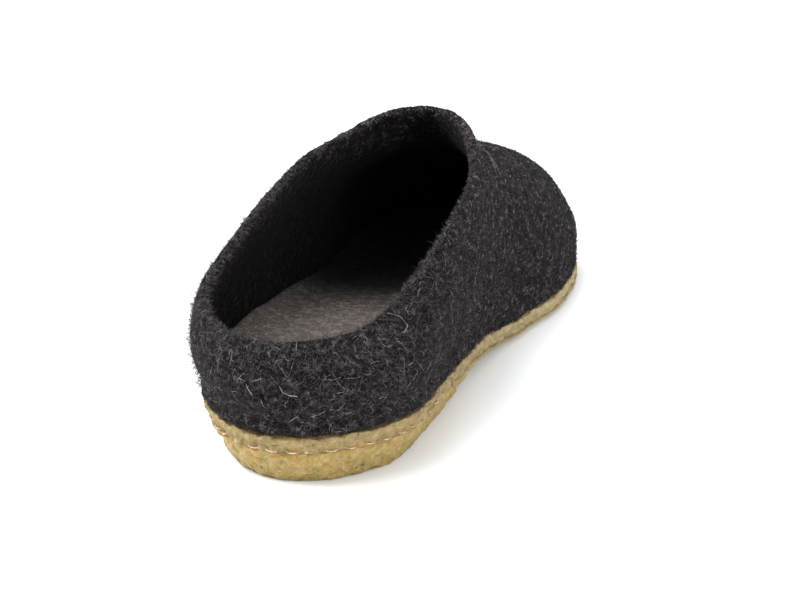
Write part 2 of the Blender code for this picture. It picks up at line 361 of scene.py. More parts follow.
rubberLook = {
    "bandCrepe": {
        "body": rgb(0.345, 0.248, 0.099),
        "olive": rgb(0.245, 0.189, 0.074),
        "pale": rgb(0.430, 0.330, 0.160),
        "honey": rgb(0.370, 0.230, 0.065),
        "pinholes": 0.8,
        "edges": {  # by how far up the layer's side: 0 at its foot, 1 at its top
            "glueLine": {"between": (0.975, 1.03), "gives": (0.0, 0.55),
                         "color": rgb(0.120, 0.052, 0.030)},
            # darker and browner along the band's lower edge, by the seam
            "bandFootDark": {"between": (0.0, 0.16), "gives": (0.20, 0.0),
                          "color": rgb(0.230, 0.140, 0.060)},
        },
    },
    "soleCrepe": {
        "body": rgb(0.415, 0.290, 0.093),
        "olive": rgb(0.355, 0.268, 0.061),
        "pale": rgb(0.490, 0.375, 0.170),
        "honey": rgb(0.430, 0.250, 0.060),
        "pinholes": 0.7,
        "edges": {
            "heelStain": {"between": (0.84, 1.0), "gives": (0.0, 0.5),
                          "color": rgb(0.310, 0.150, 0.035)},
            # darker towards the underside's edge
            "soleFootDark": {"between": (0.0, 0.10), "gives": (0.30, 0.0),
                           "color": rgb(0.200, 0.150, 0.085)},
        },
    },
}
rubberTones = {  # cloudy patches over the body colour, one after the other
    "olive": {"cover": 0.7, "scale": 170, "between": (0.42, 0.60),
              "detail": 3.0, "rough": 0.65, "bend": 0.6},
    "pale": {"cover": 0.7, "scale": 330, "between": (0.50, 0.62), "shift": (1, 2, 3),
             "detail": 3.0, "rough": 0.65, "bend": 0.5},
    "honey": {"cover": 0.6, "scale": 240, "between": (0.53, 0.65), "shift": (3, 1, 2),
              "detail": 3.0, "rough": 0.6, "bend": 0.4},
}
crumb = {
    "evenAndLitFrom": (-0.070, 0.060),  # along the shoe: the rubber grows more even and paler between these, the paleness being painted light
    "evenAndLitShare": 0.6,
    "evenAndLitColor": rgb(0.535, 0.445, 0.240),
    "grainScale": 420,
    "grainShare": 0.6,
    "lumpScale": 380,
    "creaseShadeColor": rgb(0.190, 0.140, 0.060),
    "creaseShadeShare": 0.34,
    "pinholeScale": 300,
    "pinholeColor": rgb(0.045, 0.032, 0.018),
    "pinholePatches": {"scale": 260, "between": (0.48, 0.56), "detail": 1.0},
    "edgeWaver": {"scale": 330, "between": (0.3, 0.7), "gives": (-0.09, 0.07)},
    "poreScale": 1300,
    "crumbRelief": 0.0026,
    "poreRelief": 0.0006,
    "roughness": (0.42, 0.62),
    "shine": 0.35,
    "glow": 0.08,  # share of the light that sinks into the rubber
    "glowReach": (0.0015, 0.0010, 0.0005),
}


def rubberFinish(name):
    look = rubberLook[name]
    bench = NodeBench(name)
    color = look["body"]
    for tone, patch in rubberTones.items():
        color = bench.blend(bench.times(bench.patches(patch), patch["cover"]), color, look[tone])
    # the waist and forefoot are more even and olive than the heel, and paler: painted light reflected
    # from the white floor
    ahead = bench.ahead(*crumb["evenAndLitFrom"])
    color = bench.blend(bench.times(ahead, crumb["evenAndLitShare"]), color, crumb["evenAndLitColor"])
    # crumbly surface: rounded grains, with painted shade darkening the creases between them
    grains = bench.cells(bench.moved(shift=(0.2, 0.3, 0.6)), crumb["grainScale"], "SMOOTH_F1")
    lumps = bench.cloud(bench.place, crumb["lumpScale"], 4.0, 0.65, 0.4)
    raised = bench.sums("SUBTRACT", lumps, bench.times(grains, crumb["grainShare"]))
    creases = bench.ranged(raised, 0.26, 0.12, 0.0, crumb["creaseShadeShare"])
    color = bench.blend(creases, color, crumb["creaseShadeColor"])
    speck = bench.cells(bench.moved(shift=(0.2, 0.5, 0.1)), crumb["pinholeScale"])
    hole = bench.ranged(speck, 0.08, 0.22, 1.0, 0.0)
    pinhole = bench.times(hole, bench.patches(crumb["pinholePatches"]))
    color = bench.blend(bench.times(pinhole, look["pinholes"]), color, crumb["pinholeColor"])
    # glue on the band's upper edge, stain on the sole's upper edge at the heel, and a darker colour
    # along each layer's lower edge
    upTheSide = bench.sums("ADD", bench.read("upTheSide"), bench.patches(crumb["edgeWaver"]))
    for edge, line in look["edges"].items():
        share = bench.ranged(upTheSide, *line["between"], *line["gives"])
        if edge == "heelStain":
            share = bench.times(share, bench.sums("SUBTRACT", 1.0, ahead))
        color = bench.blend(share, color, line["color"])
    normal = bench.relief(raised, 1.0, crumb["crumbRelief"])
    pores = bench.sums("SUBTRACT", bench.cloud(bench.place, crumb["poreScale"], 3.0, 0.6), pinhole)
    normal = bench.relief(pores, 0.45, crumb["poreRelief"], normal)
    roughness = bench.ranged(lumps, 0.3, 0.7, *crumb["roughness"])
    material = bench.finish(color, roughness, normal, crumb["shine"])
    bench.shader.inputs["Subsurface Weight"].default_value = crumb["glow"]
    bench.shader.inputs["Subsurface Radius"].default_value = crumb["glowReach"]
    bench.shader.inputs["Subsurface Scale"].default_value = 1.0
    return material


def threadFinish():
    bench = NodeBench("seamThread")
    share = bench.ranged(bench.cloud(bench.place, 900, 2.0), 0.35, 0.65)
    color = bench.blend(share, rgb(0.42, 0.23, 0.13), rgb(0.70, 0.52, 0.40))
    return bench.finish(color, 0.6)


# mesh helpers
def looseMesh(nodeName):
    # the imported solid's shape as welded quads, in a mesh of its own
    shape = bmesh.new()
    shape.from_mesh(frame["nodes"][nodeName].data)
    bmesh.ops.remove_doubles(shape, verts=shape.verts[:], dist=2e-6)
    bmesh.ops.join_triangles(shape, faces=shape.faces[:], angle_face_threshold=3.2,
                             angle_shape_threshold=3.2)
    return shape


def pieceFrom(name, data, material, slotName, nodeName=None):
    piece = bpy.data.objects.new(name, data)
    bpy.context.scene.collection.objects.link(piece)
    data.materials.clear()
    data.materials.append(material)
    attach(piece, "root")
    if nodeName:
        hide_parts(nodeName)
    return piece


def settled(shape, name, changes):
    # runs the named modifiers on a throwaway object and returns the finished mesh
    rough = bpy.data.meshes.new(name + "Rough")
    shape.to_mesh(rough)
    shape.free()
    holder = bpy.data.objects.new(name + "Rough", rough)
    bpy.context.scene.collection.objects.link(holder)
    for kind, settings in changes:
        modifier = holder.modifiers.new(kind, kind)
        for key, value in settings.items():
            setattr(modifier, key, value)
    graph = bpy.context.evaluated_depsgraph_get()
    done = bpy.data.meshes.new_from_object(holder.evaluated_get(graph))
    done.name = name
    bpy.data.objects.remove(holder)
    bpy.data.meshes.remove(rough)
    return done


def readVertices(data):
    # all points, and all normals, as rows of three
    points = np.empty(len(data.vertices) * 3)
    normals = np.empty(len(data.vertices) * 3)
    data.vertices.foreach_get("co", points)
    data.vertices.foreach_get("normal", normals)
    return points.reshape(-1, 3), normals.reshape(-1, 3)


def putPoints(data, points):
    data.vertices.foreach_set("co", np.ascontiguousarray(points).ravel())
    data.update()


def markPoints(data, name, values):
    # a value at each point, for the finishes to read
    data.attributes.new(name, "FLOAT", "POINT").data.foreach_set("value", values.astype(np.float32))


def cloudAt(points, scale, seed):
    # Perlin noise at each point, about -1 to 1
    shift = Vector((seed, seed * 0.7, -seed))
    return np.array([noise.noise(Vector(p) * scale + shift) for p in points])


def blobsAt(points, scale, seed):
    # rounded lumps: 1 in the middle of each cell, 0 between cells
    shift = Vector((seed, -seed, seed * 0.3))
    near = np.array([noise.voronoi(Vector(p) * scale + shift)[0][0] for p in points])
    return np.clip(1 - near * near * 1.6, 0, 1)


def smoothStep(value, low, high):
    t = np.clip((value - low) / (high - low), 0, 1)
    return t * t * (3 - 2 * t)


# the crepe's heights depend only on how far along the shoe
def capLoop(nodeName, up):
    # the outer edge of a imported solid's flat end, in order round the shoe
    shape = looseMesh(nodeName)
    shape.normal_update()
    rim = {v for f in shape.faces if f.normal.z * up > 0.9 for v in f.verts}
    loop = np.array([v.co for v in rim])
    shape.free()
    return loop[np.argsort(np.arctan2(loop[:, 1], loop[:, 0]))]


def heightAlong(loop):
    order = np.argsort(loop[:, 1])
    return lambda y: np.interp(y, loop[order, 1], loop[order, 2])


seamLoop = capLoop("midsole", -1)
seamHeight = heightAlong(seamLoop)
rubberTop = heightAlong(capLoop("midsole", 1))
soleUnder = heightAlong(capLoop("outsole", -1))


def evenLoop(loop, count):
    # the loop as a smooth closed line; the second round evens out what the smoothing moved
    for _ in range(2):
        closed = np.vstack([loop, loop[:1]])
        travel = np.concatenate([[0], np.cumsum(np.linalg.norm(np.diff(closed, axis=0), axis=1))])
        marks = np.linspace(0, travel[-1], count, endpoint=False)
        loop = np.column_stack([np.interp(marks, travel, closed[:, k]) for k in range(3)])
        for _ in range(30):
            loop = (np.roll(loop, 1, axis=0) + loop * 2 + np.roll(loop, -1, axis=0)) / 4
    return loop


seamLine = evenLoop(seamLoop, 1200)
seamStep = np.linalg.norm(np.roll(seamLine, -1, axis=0) - seamLine, axis=1).mean()
seamLength = seamStep * len(seamLine)
seamAlong = np.roll(seamLine, -1, axis=0) - np.roll(seamLine, 1, axis=0)
seamAlong /= np.linalg.norm(seamAlong, axis=1)[:, None]
seamOut = np.column_stack([seamAlong[:, 1], -seamAlong[:, 0], seamAlong[:, 0] * 0])
seamOut /= np.linalg.norm(seamOut, axis=1)[:, None]


def besideSeam(points):
    # for each point: the nearest place on the seam line, and how far outside the line it is
    nearest = np.empty(len(points), dtype=int)
    for start in range(0, len(points), 4000):
        part = points[start:start + 4000, None, :2] - seamLine[None, :, :2]
        nearest[start:start + 4000] = (part * part).sum(axis=2).argmin(axis=1)
    beyond = ((points - seamLine[nearest])[:, :2] * seamOut[nearest, :2]).sum(axis=1)
    return nearest, beyond


footMiddle = {"heel": -80 * mm, "toe": 75 * mm, "height": 34 * mm}
heelFade = (-85 * mm, -35 * mm)  # along the shoe: all heel behind the first, none ahead of the second


def outward(points):
    # direction away from the middle of the foot, at each point
    zero = points[:, 0] * 0
    middle = np.column_stack([zero, np.clip(points[:, 1], footMiddle["heel"], footMiddle["toe"]),
                              zero + footMiddle["height"]])
    away = points - middle
    return away / np.linalg.norm(away, axis=1)[:, None]


def facingOut(points, normals):
    # 1 where the felt faces away from the foot, -1 where it faces the foot
    return (normals * outward(points)).sum(axis=1)


def overRubber(points):
    return points[:, 2] - rubberTop(points[:, 1])


def heelShare(points):
    return 1 - smoothStep(points[:, 1], *heelFade)


# crepe layers
stitching = {
    "pitch": 6.8 * mm,
    "length": 4.3 * mm,
    "thick": 0.45 * mm,
    "sag": 0.15 * mm,
    "drift": 0.3 * mm,           # how far a stitch strays from its even place
    "reach": (1.15, 1.75),       # how far it stands out of the seam, in millimetres
    "setOut": 0.3 * mm,
    "setUp": 0.45 * mm,
    "sunk": (-85 * mm, -50 * mm),  # along the shoe: between these the rubber closes over them
    "sunkShare": 0.9,
    "sides": 7,
    "rings": 9,
    "seed": 41,
}
crepeShape = {
    "crepeBand": {"node": "midsole", "slot": "crepe_band", "finish": "bandCrepe",
                  "blob": 1.50 * mm, "ripple": 0.40 * mm, "pucker": 0.80 * mm, "wave": 0.50 * mm},
    "crepeSole": {"node": "outsole", "slot": "crepe_sole", "finish": "soleCrepe",
                  "blob": 1.60 * mm, "ripple": 0.35 * mm, "pucker": 0.25 * mm, "wave": 0.60 * mm},
}
crepeEdges = {
    "rim": 0.8 * mm,        # ring inside each flat end that holds its edge through the smoothing
    "groove": 1.60 * mm,    # both layers swell over the seam by this
    "grooveTall": 1.3 * mm,
    "topWaver": 1.1 * mm,   # up and down along the band's top edge
    "lap": 0.35 * mm,       # the band's lower edge over the seam
    "lapWaver": 0.50 * mm,
    "worn": 1.0 * mm,       # taken unevenly off the underside's edge
    "wornReach": (-11 * mm, -7 * mm),
}


def buildCrepe(name):
    look = crepeShape[name]
    isBand = name == "crepeBand"
    shape = looseMesh(look["node"])
    shape.normal_update()
    for up in (1, -1):
        ends = [f for f in shape.faces if f.normal.z * up > 0.9]
        bmesh.ops.inset_region(shape, faces=ends, thickness=crepeEdges["rim"], use_even_offset=True)
    data = settled(shape, name, [("SUBSURF", {"levels": 3, "render_levels": 3})])
    points, normals = readVertices(data)
    if isBand:
        low, high = seamHeight(points[:, 1]), rubberTop(points[:, 1])
    else:
        low, high = soleUnder(points[:, 1]), seamHeight(points[:, 1])
    share = (points[:, 2] - low) / (high - low)
    side = 1 - smoothStep(np.abs(normals[:, 2]), 0.65, 0.95)
    nearest, beyond = besideSeam(points)
    travel = nearest * seamStep
    # the seam is nearly closed: both layers swell towards each other there
    atSeam = np.exp(-((points[:, 2] - seamHeight(points[:, 1])) / crepeEdges["grooveTall"]) ** 2)
    swell = crepeEdges["groove"] * atSeam * smoothStep(beyond, -4 * mm, -0.5 * mm)
    points[:, :2] += seamOut[nearest, :2] * swell[:, None]
    upright = np.column_stack([points[:, :2], points[:, 2] * 0.25])
    push = look["blob"] * 0.6 * (blobsAt(points, 210, 3.1) - 0.72)
    push += look["blob"] * 0.6 * (blobsAt(points, 340, 8.3) - 0.65)
    push += look["ripple"] * cloudAt(upright, 520, 1.7)
    push += look["wave"] * cloudAt(points, 90, 5.3)
    between = np.abs(np.sin(np.pi * travel / stitching["pitch"]))
    fromSeam = share if isBand else 1 - share
    push += look["pucker"] * (between - 0.5) * np.exp(-((fromSeam - 0.25) / 0.25) ** 2)
    if isBand:  # calmer at its top edge, where the felt sits
        push *= 1 - 0.35 * smoothStep(share, 0.75, 1.0)
    points += seamOut[nearest] * (push * side)[:, None]
    if isBand:  # its two edges waver, and the lower one laps unevenly over the seam
        outerEdge = smoothStep(beyond, -3 * mm, -1 * mm)
        waver = crepeEdges["topWaver"] * cloudAt(points, 250, 2.9)
        points[:, 2] += waver * outerEdge * smoothStep(share, 0.7, 1.0)
        lap = crepeEdges["lap"] + crepeEdges["lapWaver"] * cloudAt(points, 200, 6.6)
        points[:, 2] -= lap * outerEdge * smoothStep(-share, -0.35, 0.0)
    else:  # the underside's edge is worn unevenly
        worn = np.maximum(cloudAt(points, 150, 4.8) + 0.5 * cloudAt(points, 330, 7.1), 0)
        worn *= crepeEdges["worn"] * smoothStep(beyond, *crepeEdges["wornReach"])
        points[:, 2] += worn * (1 - smoothStep(share, 0.05, 0.5))
    putPoints(data, points)
    data.shade_smooth()
    markPoints(data, "upTheSide", share)
    return pieceFrom(name, data, rubberFinish(look["finish"]), look["slot"], look["node"])


crepePieces = [buildCrepe(name) for name in crepeShape]
print("crepe layers built,", sum(len(p.data.polygons) for p in crepePieces), "faces")

# felt wall
halfWide = shoeSize.x / 2
wallShape = {
    "voxel": 1.2 * mm,
    "swell": 0.45 * mm,   # broad unevenness of the felt
    "nub": 0.62 * mm,     # small lumps that show along the edges
    "ragged": 1.3 * mm,   # how far the foot of the wall spreads to the rubber's edge
    "footTall": (0.5 * mm, 6 * mm),     # over the rubber: the spread fades between these
    "freeFrom": (3 * mm, 9 * mm),       # over the rubber: creases and swell grow between these
    "deepBelow": (-8 * mm, 26 * mm),    # under the collar's edge: painted shade darkens the inside
    "deepAhead": (5 * mm, 30 * mm),     # along the shoe: painted shade darkens the inside between these
    # strengths of the painted shade inside the shoe and along the lip's fold
    "insideShade": 1.1,
    "foldShade": 0.75,
    "shade": 0.72,
}
# soft troughs, and ridges where deep is below zero: path by shares of the half width,
# the length and the height, then width and depth
creases = {
    "lipRidge": {"path": [(0.30, 0.20, 0.77), (0.42, 0.152, 0.784), (0.52, 0.116, 0.78),
                          (0.60, 0.096, 0.77), (0.66, 0.082, 0.755)],
                 "wide": 2.2 * mm, "deep": -1.2 * mm},
    "lipFold": {"path": [(0.34, 0.22, 0.75), (0.46, 0.172, 0.765), (0.56, 0.138, 0.760),
                         (0.64, 0.116, 0.745), (0.72, 0.098, 0.715)],
                "wide": 3.2 * mm, "deep": 1.8 * mm},
    "vampTrough": {"path": [(-0.62, 0.16, 0.62), (-0.25, 0.20, 0.80), (0.15, 0.20, 0.83),
                            (0.6, 0.17, 0.66)],
                   "wide": 9 * mm, "deep": 0.8 * mm},
    "innerWaist": {"path": [(0.80, -0.08, 0.35), (0.86, 0.0, 0.52), (0.82, 0.07, 0.66)],
                   "wide": 9 * mm, "deep": 0.7 * mm},
    "innerHeel": {"path": [(0.86, -0.22, 0.24), (0.90, -0.14, 0.45)],
                  "wide": 8 * mm, "deep": -0.5 * mm},
    "outerWaist": {"path": [(-0.82, -0.05, 0.35), (-0.86, 0.04, 0.55)],
                   "wide": 9 * mm, "deep": 0.7 * mm},
    "heelRoll": {"path": [(-0.55, -0.40, 0.30), (0.0, -0.47, 0.34), (0.55, -0.40, 0.30)],
                 "wide": 8 * mm, "deep": -0.4 * mm},
}


def onShoe(shares):
    # places given by shares of the half width, the length and the height
    return np.array([(x * halfWide, y * shoeSize.y, z * shoeSize.z) for x, y, z in shares])


def creasePush(points, names):
    push = np.zeros(len(points))
    for name in names:
        crease = creases[name]
        path = onShoe(crease["path"])
        nearest = np.full(len(points), 1.0)
        along = np.zeros(len(points))
        for i in range(len(path) - 1):
            line = path[i + 1] - path[i]
            t = np.clip(((points - path[i]) @ line) / (line @ line), 0, 1)
            away = np.linalg.norm(points - path[i] - t[:, None] * line, axis=1)
            closer = away < nearest
            nearest = np.where(closer, away, nearest)
            along = np.where(closer, (i + t) / (len(path) - 1), along)
        fade = smoothStep(along, -0.05, 0.25) * (1 - smoothStep(along, 0.75, 1.05))
        push -= crease["deep"] * np.exp(-(nearest / crease["wide"]) ** 2) * fade
    return push


def collarProfile():
    # the height of the collar's edge from the heel to where the front lip begins
    points = np.array([v.co for v in frame["nodes"]["upper"].data.vertices])
    lipStart = 20 * mm
    near = 6 * mm
    marks = np.linspace(points[:, 1].min(), lipStart, 24)
    tops = [points[np.abs(points[:, 1] - y) < near][:, 2].max() for y in marks]
    return lambda y: np.interp(y, marks, tops)


collarHeight = collarProfile()


def buildWall():
    data = settled(looseMesh("upper"), "feltWall", [
        ("SUBSURF", {"levels": 2, "render_levels": 2}),
        ("REMESH", {"mode": "VOXEL", "voxel_size": wallShape["voxel"]}),
        ("SMOOTH", {"factor": 0.5, "iterations": 2}),
    ])
    points, normals = readVertices(data)
    away = outward(points)
    outer = smoothStep(facingOut(points, normals), -0.2, 0.4)
    above = overRubber(points)
    free = smoothStep(above, *wallShape["freeFrom"])
    # the lip's fold, as a share, for the painted shade along it
    fold = creasePush(points, ["lipFold"]) / -creases["lipFold"]["deep"]
    points += away * (creasePush(points, creases) * free)[:, None]
    points += away * (wallShape["swell"] * cloudAt(points, 45, 2.2) * free)[:, None]
    nubs = 0.3 * cloudAt(points, 230, 7.7) + 0.8 * cloudAt(points, 410, 1.1)
    nubs *= (0.35 + 0.65 * outer) * smoothStep(above, 1 * mm, 3 * mm)
    nubs *= 1 - 0.5 * heelShare(points)  # lower at the heel
    points += normals * (wallShape["nub"] * nubs)[:, None]
    # the foot of the wall spreads unevenly to the edge of the rubber
    nearest, beyond = besideSeam(points)
    foot = (1 - smoothStep(above, *wallShape["footTall"])) * smoothStep(beyond, -2.5 * mm, -0.5 * mm)
    spread = wallShape["ragged"] * (0.70 + 1.00 * cloudAt(points, 300, 9.1))
    points += seamOut[nearest] * (foot * spread)[:, None]
    putPoints(data, points)
    data.shade_smooth()
    # painted shade: darker deep inside the shoe and along the fold beside the front lip, for the felt's
    # finish to read
    depth = collarHeight(points[:, 1]) - points[:, 2]
    deep = smoothStep(depth, *wallShape["deepBelow"])
    deep = np.maximum(deep, smoothStep(points[:, 1], *wallShape["deepAhead"]))
    paintedShade = (1 - outer) * deep * wallShape["insideShade"]
    paintedShade = np.maximum(paintedShade, fold * wallShape["foldShade"] * outer)
    markPoints(data, "paintedShade", wallShape["shade"] * paintedShade)
    return pieceFrom("feltWall", data, feltFinish("wallFelt"), "felt", "upper")


feltWall = buildWall()
print("felt wall built,", len(feltWall.data.polygons), "faces")

# footbed
footbedShape = {
    "voxel": 1.4 * mm,
    "nub": 0.16 * mm,
    "swell": 0.35 * mm,
    "darkFrom": (-52 * mm, 8 * mm),  # along the shoe: painted shade, lit behind the first, dark ahead of the second
    "shade": 0.93,
}


def buildFootbed():
    data = settled(looseMesh("insole"), "feltFootbed", [
        ("REMESH", {"mode": "VOXEL", "voxel_size": footbedShape["voxel"]}),
        ("SMOOTH", {"factor": 0.5, "iterations": 6}),
    ])
    points, normals = readVertices(data)
    top = smoothStep(normals[:, 2], 0.3, 0.8)
    lift = footbedShape["swell"] * cloudAt(points, 35, 4.4)
    lift += footbedShape["nub"] * cloudAt(points, 260, 6.2)
    points[:, 2] += lift * top
    putPoints(data, points)
    data.shade_smooth()
    # painted shade: the footbed darkens towards the toe, deep inside the shoe
    paintedShade = smoothStep(points[:, 1], *footbedShape["darkFrom"])
    markPoints(data, "paintedShade", footbedShape["shade"] * paintedShade)
    return pieceFrom("feltFootbed", data, feltFinish("footbedFelt"), "insole_felt", "insole")


feltFootbed = buildFootbed()
print("footbed built,", len(feltFootbed.data.polygons), "faces")


# loose wool: ribbons and thin threads grown over the felt
def scattered(piece, count, rng, weigh):
    # points spread over a mesh by area times weigh(points, normals), with their normals
    data = piece.data
    data.calc_loop_triangles()
    corners = np.empty(len(data.loop_triangles) * 3, dtype=np.int32)
    data.loop_triangles.foreach_get("vertices", corners)
    corners = corners.reshape(-1, 3)
    points, normals = readVertices(data)
    a, b, c = (points[corners[:, k]] for k in range(3))
    area = np.linalg.norm(np.cross(b - a, c - a), axis=1)
    share = area * weigh((a + b + c) / 3, normals[corners].mean(axis=1))
    chosen = rng.choice(len(corners), size=count, p=share / share.sum())
    u, v = rng.random((2, count))
    fold = u + v > 1
    u, v = np.where(fold, 1 - u, u), np.where(fold, 1 - v, v)
    w = (1 - u - v)[:, None]
    u, v = u[:, None], v[:, None]
    place = a[chosen] * w + b[chosen] * u + c[chosen] * v
    facing = normals[corners[chosen]]
    facing = facing[:, 0] * w + facing[:, 1] * u + facing[:, 2] * v
    return place, facing / np.linalg.norm(facing, axis=1)[:, None]


def unit(vectors):
    return vectors / np.maximum(np.linalg.norm(vectors, axis=-1, keepdims=True), 1e-9)


def grown(tree, place, facing, heading, length, curl, lift, steps, rng, stand=0.0):
    # paths that creep over the felt and turn as they go; with stand they also rise off it
    count = len(place)
    heading = unit(heading - facing * (heading * facing).sum(axis=1)[:, None])
    bend = curl * rng.normal(size=count)
    step = length / steps * (1 - 0.6 * stand)
    path = np.zeros((steps + 1, count, 3))
    normal = np.zeros((steps + 1, count, 3))
    spot = place.copy()
    for k in range(steps + 1):
        height = lift * math.sin(math.pi * (0.1 + 0.8 * k / steps)) + stand * length * (k / steps)
        if tree is not None:
            for i in range(count):
                hit, out, _, _ = tree.find_nearest(spot[i])
                spot[i] = hit
                facing[i] = out
        path[k] = spot + facing * height[:, None]
        normal[k] = facing
        turn = bend / steps + rng.normal(size=count) * curl * 0.9 / steps
        side = unit(np.cross(facing, heading))
        heading = heading * np.cos(turn)[:, None] + side * np.sin(turn)[:, None]
        heading = unit(heading - facing * (heading * facing).sum(axis=1)[:, None])
        spot = spot + heading * step[:, None]
    return path, normal


def strandSides(path, normal, width, tip, power):
    # half of each strand's width, across it and up from the felt, thinner at both ends
    along = unit(np.gradient(path, axis=0))
    side = unit(np.cross(along, normal))
    taper = np.sin(np.linspace(tip, 1 - tip, len(path)) * math.pi) ** power
    half = (taper[:, None] * width[None, :] / 2)[:, :, None]
    return side * half, np.cross(side, along) * half


def ribbons(name, path, normal, width, material, slotName):
    # flat strands, for most of the wool
    side, _ = strandSides(path, normal, width, 0.12, 0.6)
    return skinned(name, [path + side, path - side], material, slotName)


def threads(name, path, normal, width, material, slotName):
    # three-sided strands, for the single hairs that show from any side
    side, over = strandSides(path, normal, width, 0.15, 0.5)
    edges = [path + side * math.cos(t) + over * math.sin(t) for t in (0.5, 2.6, 4.7)]
    return skinned(name, edges, material, slotName)


def skinned(name, edges, material, slotName):
    # one strip between two edges, or strips all the way round three
    points = np.stack(edges, axis=2)
    steps, count, sides = points.shape[:3]
    index = np.arange(steps * count * sides).reshape(steps, count, sides)
    quads = []
    for k in range(sides if sides > 2 else 1):
        m = (k + 1) % sides
        quads.append(np.stack([index[:-1, :, k], index[:-1, :, m],
                               index[1:, :, m], index[1:, :, k]], axis=-1).reshape(-1, 4))
    return strandMesh(name, points.reshape(-1, 3), np.concatenate(quads), material, slotName)


def strandMesh(name, points, quads, material, slotName):
    data = bpy.data.meshes.new(name)
    data.vertices.add(len(points))
    data.vertices.foreach_set("co", points.ravel())
    data.loops.add(quads.size)
    data.loops.foreach_set("vertex_index", quads.ravel().astype(np.int32))
    data.polygons.add(len(quads))
    data.polygons.foreach_set("loop_start", np.arange(0, quads.size, 4, dtype=np.int32))
    data.update(calc_edges=True)
    data.validate()
    data.shade_smooth()
    return pieceFrom(name, data, material, slotName)


def treeOf(piece):
    shape = bmesh.new()
    shape.from_mesh(piece.data)
    tree = BVHTree.FromBMesh(shape)
    shape.free()
    return tree


wallTree = treeOf(feltWall)
footbedTree = treeOf(feltFootbed)


def outerShare(points, normals):
    return smoothStep(facingOut(points, normals), 0.05, 0.4) * (overRubber(points) > 0.5 * mm)


def collarShare(points, normals):
    # the rolled edge of the collar faces up, between the two faces of the wall
    edge = np.abs(facingOut(points, normals)) < 0.55
    return edge * (normals[:, 2] > 0.2) * (points[:, 2] > 40 * mm)


def innerShare(points, normals):
    seen = smoothStep(points[:, 2], 20 * mm, 40 * mm) * (points[:, 1] < 60 * mm)
    return smoothStep(-facingOut(points, normals), 0.1, 0.4) * seen


def outlineShare(points, normals):
    # the outside of the wall and the edge of the collar together
    return np.maximum(outerShare(points, normals), collarShare(points, normals))


def wallShare(points, normals):
    return outerShare(points, normals) * (1.0 + 0.3 * heelShare(points))


def heelFuzzShare(points, normals):
    return outlineShare(points, normals) * (0.25 + heelShare(points))


def vampTuftShare(points, normals):
    return outlineShare(points, normals) * (1.2 - heelShare(points))


def napShare(points, normals):
    # the part of the footbed that light reaches
    return (normals[:, 2] > 0.6) * (points[:, 1] < -35 * mm) * (points[:, 2] > 20 * mm)


def combedHeading(points, normals, rng, loose):
    # up the wall, and back towards the collar over the vamp, with some scatter
    zero = points[:, 0] * 0
    up = np.column_stack([zero, -smoothStep(normals[:, 2], 0.3, 0.9), zero + 1])
    return unit(up) + loose[:, None] * rng.normal(size=points.shape)


# lengths, widths and lift off the felt in millimetres; those with a stand value stick out
fibres = {
    "wallFibresDark": {"count": 9000, "length": (1.4, 3.2), "width": (0.15, 0.24), "curl": 1.5,
                       "lift": (0.15, 0.45), "finish": "darkFibre", "seed": 11, "where": outerShare},
    "wallFibresGrey": {"count": 19000, "length": (1.3, 4.2), "width": (0.08, 0.13), "curl": 1.7,
                       "lift": (0.15, 0.55), "finish": "greyFibre", "seed": 12, "where": outerShare},
    "wallFibresPale": {"count": 1300, "length": (1.8, 5.0), "width": (0.06, 0.10), "curl": 1.3,
                       "lift": (0.30, 0.80), "finish": "paleFibre", "seed": 13, "where": wallShare},
    "innerFibres": {"count": 3400, "length": (1.0, 2.6), "width": (0.12, 0.20), "curl": 1.7,
                    "lift": (0.10, 0.30), "finish": "darkFibre", "seed": 14, "where": innerShare},
    "collarFuzz": {"count": 3600, "length": (1.0, 2.4), "width": (0.09, 0.14), "curl": 0.8,
                   "lift": (0.05, 0.20), "finish": "greyFibre", "seed": 15, "where": collarShare,
                   "stand": 0.6},
    "wallFuzz": {"count": 13000, "length": (0.9, 2.4), "width": (0.10, 0.16), "curl": 1.8,
                 "lift": (0.05, 0.20), "finish": "greyFibre", "seed": 16, "where": wallShare,
                 "stand": 0.65},
    "longFuzz": {"count": 3000, "length": (2.0, 4.4), "width": (0.07, 0.11), "curl": 2.2,
                 "lift": (0.05, 0.20), "finish": "greyFibre", "seed": 18, "where": heelFuzzShare,
                 "stand": 0.75},
    "vampTufts": {"count": 9000, "length": (0.9, 2.4), "width": (0.20, 0.34), "curl": 1.6,
                  "lift": (0.05, 0.20), "finish": "darkFibre", "seed": 19, "where": vampTuftShare,
                  "stand": 0.6},
    "footbedNap": {"count": 5200, "length": (0.9, 2.6), "width": (0.09, 0.17), "curl": 2.2,
                   "lift": (0.06, 0.22), "finish": "footbedFibre", "seed": 17, "where": napShare},
}


def spreadOf(pair, count, rng, lean=1.0):
    # lengths between two numbers of millimetres; with more lean, more of them are short
    low, high = pair
    return (low + (high - low) * rng.random(count) ** lean) * mm


def buildFibres(name):
    look = fibres[name]
    rng = np.random.default_rng(look["seed"])
    count = look["count"]
    onFootbed = name == "footbedNap"
    place, facing = scattered(feltFootbed if onFootbed else feltWall, count, rng, look["where"])
    heel = heelShare(place)  # longer and finer there than on the vamp
    length = spreadOf(look["length"], count, rng, 1.7) * (0.72 + 0.65 * heel)
    width = spreadOf(look["width"], count, rng) * (1.35 - 0.35 * heel)
    lift = spreadOf(look["lift"], count, rng)
    if onFootbed:
        heading = rng.normal(size=place.shape) * np.array([1.3, 1.1, 0.2])
    else:
        heading = combedHeading(place, facing, rng, 1.7 + 0.4 * heel)
    tree = footbedTree if onFootbed else wallTree
    steps = 3 if "stand" in look else 4
    path, normal = grown(tree, place, facing, heading, length, look["curl"], lift, steps, rng,
                         look.get("stand", 0.0))
    make = threads if name in ("longFuzz", "wallFibresPale") else ribbons
    return make(name, path, normal, width, fibreFinish(look["finish"]),
                "insole_felt" if onFootbed else "felt")


